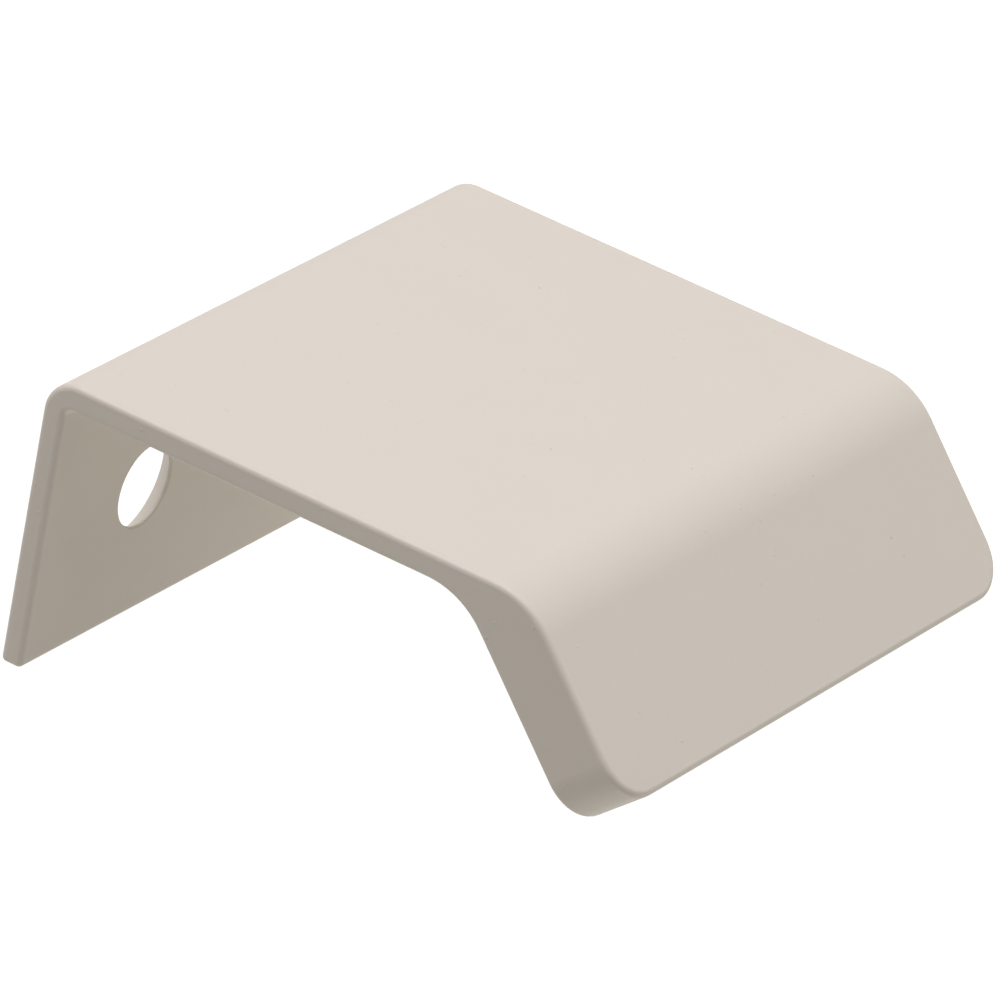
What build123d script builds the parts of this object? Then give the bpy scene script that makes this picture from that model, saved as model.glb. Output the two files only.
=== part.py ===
"""Short profile handle for a cabinet door or drawer front.

One length of extruded profile. A flange is screwed to the back of the front, a thin plate runs
forward over its top edge, and a thick slanted lip hangs before it as the finger pull.
Millimetres. X runs along the handle, the lip points to -Y and +Z is up. The origin is midway
between the two screw holes, on the flange face that lies against the back of the front.
"""

import os
from math import cos, radians, sin, tan

from build123d import *

# Cut length of the profile
length = 40.0

# Flange on the back of the front
flange_thickness = 1.4
flange_height = 18.1

# Plate over the top edge: its reach is from the flange's back to the lip's front line
plate_thickness = 1.6
plate_reach = 32.15

# Slanted lip: its angle is below level, and its length is along the front face
lip_thickness = 4.2
lip_length = 12.6
lip_angle = 48.6

# Bends of the section
rear_bend_radius = 2.1
rear_inside_radius = 0.6
front_bend_radius = 5.0
front_inside_radius = 5.0

# Lower corners of the lip, and the rounding on all the outer edges
lip_corner_radius = 2.8
edge_radius = 0.35

# Countersunk screw holes: the drop is from the top face, the land is the straight part
hole_diameter = 5.0
hole_pitch = 20.0
hole_drop = 9.85
hole_land = 0.2
hole_rim_radius = 0.12
countersink_angle = 90.0

# Levels and corners of the section, as (Y, Z) from the origin
top_level = hole_drop
underside_level = top_level - plate_thickness
flange_foot_level = top_level - flange_height
slope = radians(lip_angle)
along_lip = Vector(0, -cos(slope), -sin(slope))
through_lip = Vector(0, sin(slope), -cos(slope))

rear_corner = (flange_thickness, top_level)
rear_inside_corner = (0, underside_level)
front_corner = (flange_thickness - plate_reach, top_level)
inside_run = (plate_thickness - lip_thickness * cos(slope)) / sin(slope)
front_inside_corner = (
    front_corner[0] + lip_thickness * sin(slope) - inside_run * cos(slope),
    underside_level,
)

# Sizes that follow from the ones above
hole_radius = hole_diameter / 2
countersink_depth = flange_thickness - hole_land
countersink_radius = hole_radius + countersink_depth * tan(radians(countersink_angle / 2))
thinnest_wall = min(plate_thickness, flange_thickness, lip_thickness)
edge_rounding = min(edge_radius, 0.45 * thinnest_wall)
rim_rounding = min(hole_rim_radius, 0.6 * hole_land)

with BuildPart() as profile_handle:
    # Section of varying wall, drawn with sharp corners and then bent
    with BuildSketch(Plane.YZ) as section:
        with BuildLine():
            flange_back = Line((flange_thickness, flange_foot_level), rear_corner)
            plate_top = Line(flange_back @ 1, front_corner)
            lip_front = PolarLine(plate_top @ 1, lip_length, 180 + lip_angle)
            lip_end = PolarLine(lip_front @ 1, lip_thickness, lip_angle - 90)
            lip_back = Line(lip_end @ 1, front_inside_corner)
            underside = Line(lip_back @ 1, rear_inside_corner)
            flange_face = Line(underside @ 1, (0, flange_foot_level))
            flange_foot = Line(flange_face @ 1, flange_back @ 0)
        make_face()
        for corner, radius in (
            (rear_corner, rear_bend_radius),
            (rear_inside_corner, rear_inside_radius),
            (front_corner, front_bend_radius),
            (front_inside_corner, front_inside_radius),
        ):
            fillet(section.vertices().sort_by_distance(corner)[0], radius=radius)
    extrude(amount=length / 2, both=True)

    # Lower corners of the lip, rounded as seen from the front
    fillet(
        profile_handle.edges().filter_by(Axis((0, 0, 0), through_lip)),
        radius=lip_corner_radius,
    )

    # Rounding around both cut ends, the lip's lower end and the flange's foot
    cut_ends = profile_handle.faces().filter_by(Axis.X)
    lip_tip = profile_handle.faces().filter_by(Axis((0, 0, 0), along_lip))
    foot = profile_handle.faces().filter_by(Axis.Z).sort_by(Axis.Z)[0]
    fillet(cut_ends.edges() + lip_tip.edges() + foot.edges(), radius=edge_rounding)

    # Screw holes, countersunk from the flange's back
    with Locations(Plane((0, flange_thickness, 0), x_dir=(1, 0, 0), z_dir=(0, 1, 0))):
        with GridLocations(hole_pitch, 0, 2, 1):
            CounterSinkHole(
                hole_radius,
                countersink_radius,
                depth=flange_thickness,
                counter_sink_angle=countersink_angle,
            )

    # Softened rim where each hole meets the flange's seating face
    seating_face = profile_handle.faces().filter_by(Axis.Y).sort_by(Axis.Y)[0]
    hole_rims = seating_face.edges().filter_by(GeomType.CIRCLE)
    fillet(hole_rims, radius=rim_rounding)

profile_handle.part.label = "profile_handle"

os.makedirs("parts", exist_ok=True)
export_step(profile_handle.part, "parts/profile_handle.step")
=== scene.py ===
"""Looks of a short profile handle: one powder-coated length of profile in a white studio."""

import logging
import math
from dataclasses import dataclass
from enum import Enum

import bpy
from mathutils import Matrix, Vector


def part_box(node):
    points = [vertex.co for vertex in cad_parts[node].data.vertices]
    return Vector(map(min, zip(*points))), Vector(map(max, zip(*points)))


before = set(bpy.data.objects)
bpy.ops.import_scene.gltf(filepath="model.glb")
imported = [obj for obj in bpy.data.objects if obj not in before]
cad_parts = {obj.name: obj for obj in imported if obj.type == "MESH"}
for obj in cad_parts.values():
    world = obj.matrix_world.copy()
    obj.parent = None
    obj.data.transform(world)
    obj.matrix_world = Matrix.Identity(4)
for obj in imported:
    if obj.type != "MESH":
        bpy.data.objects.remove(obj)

LOG = logging.getLogger("profile_handle_scene")
MM = 0.001
BROAD_DETAIL = 2.0
FINE_DETAIL = 1.0

Colour = tuple[float, float, float]


class RayKind(Enum):
    """The kinds of ray that see the white studio instead of its dim light."""

    CAMERA = "Is Camera Ray"
    GLOSSY = "Is Glossy Ray"
    TRANSMISSION = "Is Transmission Ray"


def direction(azimuth: float, elevation: float) -> Vector:
    """Gives the unit vector from the handle towards a place around it.

    Args:
        azimuth: Degrees round the handle, 0 in front of the lip and 90 on its +X side.
        elevation: Degrees above level.

    Returns:
        The unit vector in the handle's frame.
    """
    around, above = math.radians(azimuth), math.radians(elevation)
    level = math.cos(above)
    return Vector((math.sin(around) * level, -math.cos(around) * level, math.sin(above)))


class ShaderGraph:
    """Adds and links the nodes of one material or world."""

    def __init__(self, tree: bpy.types.NodeTree) -> None:
        """Empties a node tree to build in.

        Args:
            tree: The material's or world's node tree.
        """
        self.tree = tree
        tree.nodes.clear()

    def add(
        self, kind: str, sockets: dict[str | int, object] | None = None, **settings: object
    ) -> bpy.types.Node:
        """Adds one node.

        Args:
            kind: The node's type name, without the leading ShaderNode.
            sockets: Input names or places, each with a value or the output socket to link.
            settings: Properties of the node itself.

        Returns:
            The new node.
        """
        node = self.tree.nodes.new("ShaderNode" + kind)
        for name, value in settings.items():
            setattr(node, name, value)
        for name, value in (sockets or {}).items():
            if isinstance(value, bpy.types.NodeSocket):
                self.tree.links.new(value, node.inputs[name])
            else:
                node.inputs[name].default_value = value
        return node

    def math(self, operation: str, *values: object) -> bpy.types.NodeSocket:
        """Adds a Math node.

        Args:
            operation: The node's operation.
            values: The node's inputs in order, each a number or an output socket.

        Returns:
            The node's output socket.
        """
        return self.add("Math", dict(enumerate(values)), operation=operation).outputs[0]

    def white_rays(self) -> bpy.types.NodeSocket:
        """Tells the rays of every RayKind from the rest.

        Returns:
            A socket that is 1 for those rays and 0 for the rest.
        """
        path = self.add("LightPath")
        white, *others = (path.outputs[kind.value] for kind in RayKind)
        for other in others:
            white = self.math("MAXIMUM", white, other)
        return white


@dataclass(frozen=True)
class Spots:
    """Small round spots strewn through a finish, at full strength in their core."""

    spacing: float
    radius: float
    share: float
    core: float = 0.5

    def socket(self, graph: ShaderGraph, place: bpy.types.NodeSocket) -> bpy.types.NodeSocket:
        """Adds the spots to a graph.

        Args:
            graph: The material's graph.
            place: The coordinates' socket.

        Returns:
            A socket that is 1 in the middle of a spot and 0 outside the spots.
        """
        cells = graph.add("TexVoronoi", {"Vector": place, "Scale": 1.0 / self.spacing})
        reach = self.radius / self.spacing
        spot = graph.add(
            "MapRange",
            {
                "Value": cells.outputs["Distance"],
                "From Min": reach,
                "From Max": self.core * reach,
            },
        )
        chosen = graph.add("SeparateColor", {"Color": cells.outputs["Color"]})
        rare = graph.math("LESS_THAN", chosen.outputs["Red"], self.share)
        return graph.math("MULTIPLY", spot.outputs["Result"], rare)


@dataclass(frozen=True)
class PowderCoat:
    """A matt beige powder coat with a fine orange peel, small specks and a few pinholes, whose dark
    cores are painted shade.
    """

    name: str = "powder_coat"
    colour: Colour = (0.684, 0.620, 0.548)
    roughness: float = 0.5
    roughness_spread: float = 0.04
    cloud_size: float = 6.0 * MM
    cloud_depth: float = 0.02
    grain_size: float = 0.12 * MM
    grain_depth: float = 0.03
    peel_size: float = 0.55 * MM
    peel_height: float = 0.006 * MM
    grain_height: float = 0.002 * MM
    speck_height: float = 0.022 * MM
    specks: Spots = Spots(1.2 * MM, 0.14 * MM, 0.35)
    pit_depth: float = 0.006 * MM
    # How far painted shade darkens the colour in the pinholes' cores, standing in for shade in the
    # tiny pits.
    pit_painted_shade: float = 0.6
    pits: Spots = Spots(2.2 * MM, 0.07 * MM, 0.35)

    def material(self) -> bpy.types.Material:
        """Builds the coat's node material.

        Returns:
            The material, which reads Object coordinates in metres.
        """
        made = bpy.data.materials.new(self.name)
        made.use_nodes = True
        graph = ShaderGraph(made.node_tree)
        place = graph.add("TexCoord").outputs["Object"]
        peel = self._noise(graph, place, self.peel_size, BROAD_DETAIL)
        grain = self._noise(graph, place, self.grain_size, FINE_DETAIL)
        speck = self.specks.socket(graph, place)
        pit = self.pits.socket(graph, place)
        surface = graph.add(
            "BsdfPrincipled",
            {
                # The base colour holds painted shade in the pinholes, on top of the coat's random
                # cloud and grain tone.
                "Base Color": self._shade(graph, place, grain, pit),
                "Roughness": self._gloss(graph, peel),
                "Normal": self._relief(
                    graph,
                    (peel, self.peel_height),
                    (grain, self.grain_height),
                    (speck, self.speck_height),
                    (pit, -self.pit_depth),
                ),
            },
        )
        graph.add("OutputMaterial", {"Surface": surface.outputs["BSDF"]})
        return made

    @staticmethod
    def _noise(
        graph: ShaderGraph, place: bpy.types.NodeSocket, size: float, detail: float
    ) -> bpy.types.NodeSocket:
        """Adds noise of one feature size.

        Args:
            graph: The material's graph.
            place: The coordinates' socket.
            size: The size of a feature in metres.
            detail: Octaves of finer noise.

        Returns:
            The noise's value socket.
        """
        noise = graph.add("TexNoise", {"Vector": place, "Scale": 1.0 / size, "Detail": detail})
        return noise.outputs["Fac"]

    def _shade(
        self,
        graph: ShaderGraph,
        place: bpy.types.NodeSocket,
        grain: bpy.types.NodeSocket,
        pit: bpy.types.NodeSocket,
    ) -> bpy.types.NodeSocket:
        """Mixes the coat's colour from broad clouds and fine grain, with painted shade darkening the
        pinholes.

        Args:
            graph: The material's graph.
            place: The coordinates' socket.
            grain: The fine grain's socket.
            pit: The pinholes' socket, where painted shade darkens the colour.

        Returns:
            The colour's socket.
        """
        cloud = self._noise(graph, place, self.cloud_size, BROAD_DETAIL)
        darkest = 1.0 - 0.5 * (self.cloud_depth + self.grain_depth)
        broad = graph.math("MULTIPLY_ADD", cloud, self.cloud_depth, darkest)
        tone = graph.math("MULTIPLY_ADD", grain, self.grain_depth, broad)
        # Painted shade: the colour is darkened in the pinholes' cores, standing in for shade in the
        # tiny pits.
        painted_pit_shade = graph.math("MULTIPLY_ADD", pit, self.pit_painted_shade - 1.0, 1.0)
        level = graph.math("MULTIPLY", tone, painted_pit_shade)
        mixed = graph.add("VectorMath", {0: self.colour, "Scale": level}, operation="SCALE")
        return mixed.outputs["Vector"]

    def _gloss(self, graph: ShaderGraph, peel: bpy.types.NodeSocket) -> bpy.types.NodeSocket:
        """Varies the roughness a little with the orange peel.

        Args:
            graph: The material's graph.
            peel: The orange peel's socket.

        Returns:
            The roughness socket.
        """
        spread = graph.add(
            "MapRange",
            {
                "Value": peel,
                "To Min": self.roughness - self.roughness_spread,
                "To Max": self.roughness + self.roughness_spread,
            },
        )
        return spread.outputs["Result"]

    @staticmethod
    def _relief(
        graph: ShaderGraph, *layers: tuple[bpy.types.NodeSocket, float]
    ) -> bpy.types.NodeSocket:
        """Raises or sinks the surface by several layers.

        Args:
            graph: The material's graph.
            layers: Each layer's height socket and its height in metres, below 0 to sink it.

        Returns:
            The normal's socket.
        """
        normal = None
        for height, depth in layers:
            sockets = {"Height": height, "Distance": abs(depth)}
            if normal is not None:
                sockets["Normal"] = normal
            normal = graph.add("Bump", sockets, invert=depth < 0).outputs["Normal"]
        return normal


@dataclass(frozen=True)
class StudioFloor:
    """The finish of the pale floor, which stays white to the camera and keeps the shadow."""

    name: str = "pale_floor"
    colour: Colour = (0.83, 0.825, 0.775)
    glow: float = 0.28
    lit_reach: float = 0.7

    def material(self) -> bpy.types.Material:
        """Builds the floor's material: matt, with a glow where the lamps no longer reach.

        Returns:
            The material.
        """
        made = bpy.data.materials.new(self.name)
        made.use_nodes = True
        graph = ShaderGraph(made.node_tree)
        paint = graph.add("BsdfDiffuse", {"Color": (*self.colour, 1.0)})
        place = graph.add("TexCoord").outputs["Object"]
        reach = graph.add("VectorMath", {0: place}, operation="LENGTH")
        share = graph.add(
            "MapRange",
            {"Value": reach.outputs["Value"], "From Max": self.lit_reach, "To Min": self.glow},
        )
        strength = graph.math("MULTIPLY", graph.white_rays(), share.outputs["Result"])
        glow = graph.add("Emission", {"Strength": strength})
        both = graph.add("AddShader", {0: paint.outputs["BSDF"], 1: glow.outputs["Emission"]})
        graph.add("OutputMaterial", {"Surface": both.outputs["Shader"]})
        return made


@dataclass
class ProfileHandle:
    """The handle itself: the CAD node with its coat."""

    node: str = "profile_handle"
    coat: PowderCoat = PowderCoat()

    def dress(self) -> bpy.types.Object:
        """Gives the handle its powder coat.

        Returns:
            The handle's object.
        """
        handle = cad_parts[self.node]
        handle.data.materials.clear()
        handle.data.materials.append(self.coat.material())
        return handle


@dataclass(frozen=True)
class SoftBox:
    """A soft square lamp aimed at the handle. At level 1 a white face turned to it renders white."""

    name: str
    azimuth: float
    elevation: float
    level: float
    tint: Colour = (1.0, 1.0, 1.0)
    distance: float = 0.8
    side: float = 0.5

    def hang(self, aim: Vector) -> bpy.types.Object:
        """Makes the lamp and turns it to the handle.

        Args:
            aim: The point that the lamp faces.

        Returns:
            The lamp's object.
        """
        lamp = bpy.data.lights.new(self.name, "AREA")
        lamp.shape = "SQUARE"
        lamp.size = self.side
        lamp.color = self.tint
        lamp.energy = self.level * (math.pi * self.distance) ** 2
        hung = bpy.data.objects.new(self.name, lamp)
        towards = direction(self.azimuth, self.elevation)
        hung.location = aim + towards * self.distance
        hung.rotation_euler = towards.to_track_quat("Z", "Y").to_euler()
        bpy.context.scene.collection.objects.link(hung)
        return hung


@dataclass
class Studio:
    """The white studio: floor, lamps, world and camera, in metres and degrees."""

    floor_drop: float = 70.0 * MM
    floor_side: float = 4.0
    ambient: float = 0.01
    camera_azimuth: float = -61.068
    camera_elevation: float = 26.976
    camera_roll: float = 10.763
    camera_distance: float = 663.81 * MM
    camera_lens: float = 428.06
    sensor: float = 36.0
    aim: tuple[float, float, float] = (0.138 * MM, -16.806 * MM, 2.933 * MM)
    lamps: tuple[SoftBox, ...] = (
        SoftBox("rear_left_softbox", 216.0, 66.0, 0.74, (1.0, 0.99, 1.0)),
        SoftBox("overhead_softbox", 0.0, 80.0, 0.362, (0.913, 0.907, 1.0)),
        SoftBox("front_right_softbox", 45.0, 30.0, 0.2, (1.0, 1.0, 0.86)),
        SoftBox("low_front_softbox", 0.0, 15.0, 0.08, (0.95, 1.0, 1.0)),
    )

    def lay_floor(self) -> bpy.types.Object:
        """Lays the floor below the handle, which is held in the air by its screw holes.

        Returns:
            The floor's object.
        """
        low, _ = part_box("profile_handle")
        bpy.ops.mesh.primitive_plane_add(
            size=self.floor_side, location=(0.0, 0.0, low[2] - self.floor_drop)
        )
        floor = bpy.context.object
        floor.name = "studio_floor"
        floor.data.materials.append(StudioFloor().material())
        return floor

    def light_world(self) -> bpy.types.World:
        """Fills the studio with dim light, and shows it white to the camera and in reflections.

        Returns:
            The world.
        """
        world = bpy.data.worlds.new("studio_world")
        world.use_nodes = True
        graph = ShaderGraph(world.node_tree)
        shown = graph.add(
            "MapRange",
            {"Value": graph.white_rays(), "To Min": self.ambient, "To Max": 1.0},
        )
        sky = graph.add(
            "Background",
            {"Color": (1.0, 1.0, 1.0, 1.0), "Strength": shown.outputs["Result"]},
        )
        graph.add("OutputWorld", {"Surface": sky.outputs["Background"]})
        bpy.context.scene.world = world
        return world

    def place_camera(self) -> bpy.types.Object:
        """Sets the camera at the photograph's viewing angle.

        Returns:
            The camera's object.
        """
        lens = bpy.data.cameras.new("camera")
        lens.lens = self.camera_lens
        lens.sensor_width = self.sensor
        camera = bpy.data.objects.new("camera", lens)
        back = direction(self.camera_azimuth, self.camera_elevation)
        level = Vector((0.0, 0.0, 1.0)).cross(back).normalized()
        turn = Matrix.Rotation(math.radians(self.camera_roll), 3, back)
        right = turn @ level
        pose = Matrix((right, back.cross(right), back)).transposed().to_4x4()
        pose.translation = Vector(self.aim) + back * self.camera_distance
        camera.matrix_world = pose
        bpy.context.scene.collection.objects.link(camera)
        bpy.context.scene.camera = camera
        return camera

    def build(self) -> None:
        """Builds the whole studio and logs each of its pieces."""
        LOG.info("floor: %s", self.lay_floor().name)
        for lamp in self.lamps:
            LOG.info("lamp: %s", lamp.hang(Vector(self.aim)).name)
        LOG.info("world: %s", self.light_world().name)
        LOG.info("camera: %s", self.place_camera().name)
        bpy.context.scene.view_settings.view_transform = "Standard"


def main() -> None:
    """Dresses the handle and builds the studio around it."""
    logging.basicConfig(level=logging.INFO, format="%(name)s %(message)s")
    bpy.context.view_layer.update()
    LOG.info("handle: %s", ProfileHandle().dress().name)
    Studio().build()


if __name__ == "__main__":
    main()
